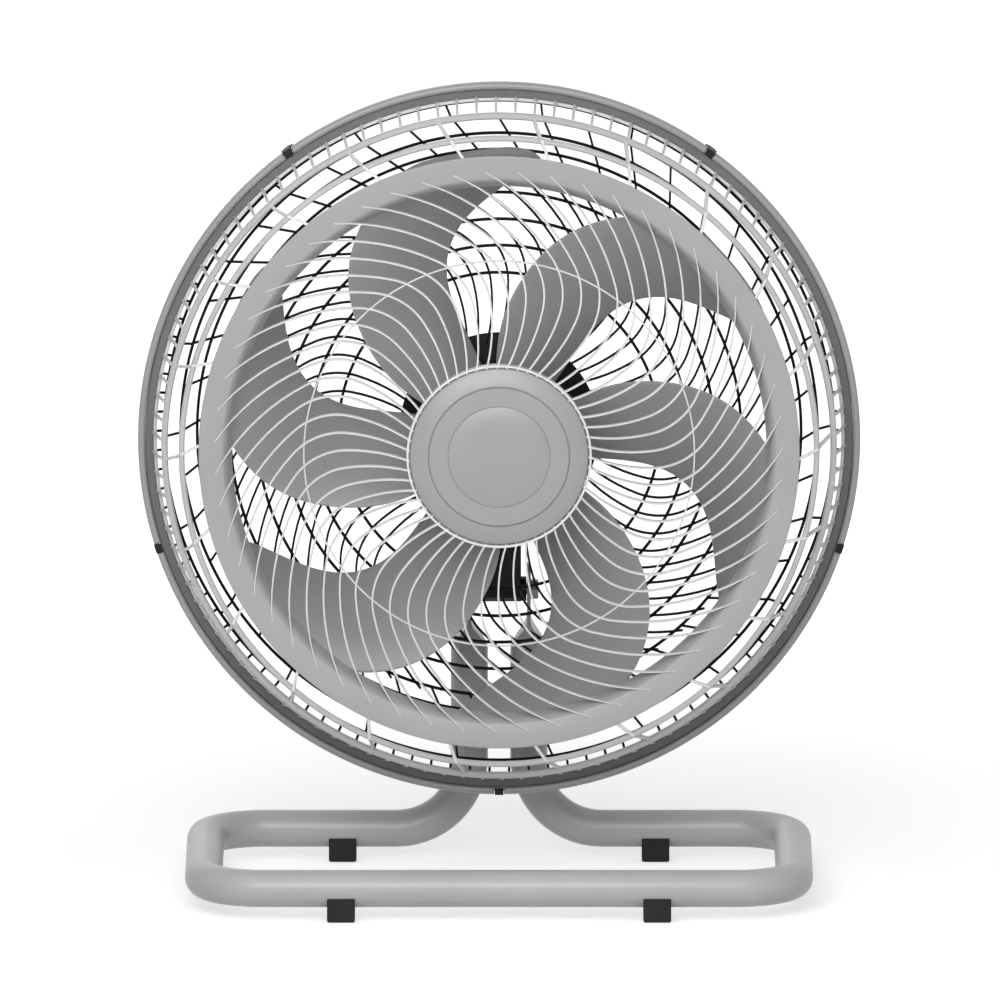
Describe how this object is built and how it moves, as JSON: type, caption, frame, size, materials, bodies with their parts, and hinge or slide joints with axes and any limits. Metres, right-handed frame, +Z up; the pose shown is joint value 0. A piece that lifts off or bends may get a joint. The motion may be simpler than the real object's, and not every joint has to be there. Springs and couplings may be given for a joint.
{
  "type": "floor fan",
  "caption": "Floor fan with a round spiral-rib guard, swept blades and a tilting head on a bent tube base.",
  "frame": {"origin": "on the floor, under the middle of the bounding box", "axes": "+Z up, -Y forward, the way the fan blows, +X to the right seen from the front"},
  "size_m": [0.491, 0.2798, 0.5515],
  "materials": {
    "tube_paint": "smooth grey powder coat",
    "guard_light": "light grey moulded plastic",
    "cone_grey": "mid grey moulded plastic",
    "band_grey": "dark grey moulded plastic",
    "guard_black": "black moulded plastic",
    "cap_grey": "smooth grey moulded plastic",
    "blade_grey": "grey moulded plastic",
    "black_plastic": "black moulded plastic, lightly textured",
    "rubber_black": "soft black rubber",
    "bracket_black": "black painted steel",
    "bolt_steel": "zinc plated steel",
    "motor_alloy": "die-cast aluminium",
    "core_steel": "stacked steel sheet",
    "copper": "enamelled copper wire",
    "bush_bronze": "sintered bronze",
    "white_plastic": "white plastic"
  },
  "bodies": {
    "base": {"base_tube": "tube_paint", "foot_front_left": "rubber_black", "foot_front_right": "rubber_black", "foot_rear_left": "rubber_black", "foot_rear_right": "rubber_black", "tilt_bolt": "bolt_steel"},
    "knob": {"tilt_knob": "black_plastic"},
    "head": {"tilt_bracket": "bracket_black", "bracket_screws": "bolt_steel", "motor_front_cover": "motor_alloy", "motor_rear_cover": "motor_alloy", "motor_screws": "bolt_steel", "shaft_bushes": "bush_bronze", "stator_core": "core_steel", "stator_windings": "copper", "rear_guard": "guard_black", "guard_nut": "black_plastic", "motor_shell": "black_plastic", "shell_post": "motor_alloy", "cord_gland": "black_plastic", "capacitor": "white_plastic", "terminal_block": "white_plastic", "speed_switch": "black_plastic", "rim_hoop": "cone_grey", "rim_band": "band_grey", "front_foot_ring": "guard_light", "front_posts": "guard_light", "front_cage": "guard_light", "cone_carrier": "guard_light", "rear_posts": "guard_black", "front_grille": "guard_light", "rear_guard_wall": "guard_black", "hub_cap": "cap_grey"},
    "rotor": {"motor_shaft": "bolt_steel", "rotor_core": "core_steel", "fan_blade": "blade_grey", "blade_nut": "black_plastic"},
    "speed": {"speed_knob": "black_plastic"},
    "clip_1": {"guard_clip_1": "black_plastic"},
    "clip_2": {"guard_clip_2": "black_plastic"},
    "clip_3": {"guard_clip_3": "black_plastic"},
    "clip_4": {"guard_clip_4": "black_plastic"},
    "clip_5": {"guard_clip_5": "black_plastic"}
  },
  "joints": [
    {"name": "head_tilt", "type": "hinge", "parent": "base", "child": "head", "pos_m": [0, 0.09385, 0.188], "axis": [-1, 0, 0], "range_deg": [-12, 30]},
    {"name": "knob_turn", "type": "hinge", "parent": "base", "child": "knob", "pos_m": [-0.03, 0.09385, 0.188], "axis": [-1, 0, 0], "range_deg": [0, 180]},
    {"name": "fan_spin", "type": "hinge", "parent": "head", "child": "rotor", "pos_m": [0, 0.01185, 0.306], "axis": [0, 1, 0], "continuous": true},
    {"name": "speed_turn", "type": "hinge", "parent": "head", "child": "speed", "pos_m": [0.0186, 0.09585, 0.376], "axis": [0, 0, 1], "range_deg": [0, 180]},
    {"name": "clip_1_swing", "type": "hinge", "parent": "head", "child": "clip_1", "pos_m": [0.14471, 0.02485, 0.50518], "axis": [-0.809, 0, 0.5878], "range_deg": [0, 70]},
    {"name": "clip_2_swing", "type": "hinge", "parent": "head", "child": "clip_2", "pos_m": [0.23415, 0.02485, 0.22992], "axis": [0.309, 0, 0.9511], "range_deg": [0, 70]},
    {"name": "clip_3_swing", "type": "hinge", "parent": "head", "child": "clip_3", "pos_m": [0, 0.02485, 0.0598], "axis": [1, 0, 0], "range_deg": [0, 70]},
    {"name": "clip_4_swing", "type": "hinge", "parent": "head", "child": "clip_4", "pos_m": [-0.23415, 0.02485, 0.22992], "axis": [0.309, 0, -0.9511], "range_deg": [0, 70]},
    {"name": "clip_5_swing", "type": "hinge", "parent": "head", "child": "clip_5", "pos_m": [-0.14471, 0.02485, 0.50518], "axis": [-0.809, 0, -0.5878], "range_deg": [0, 70]}
  ]
}
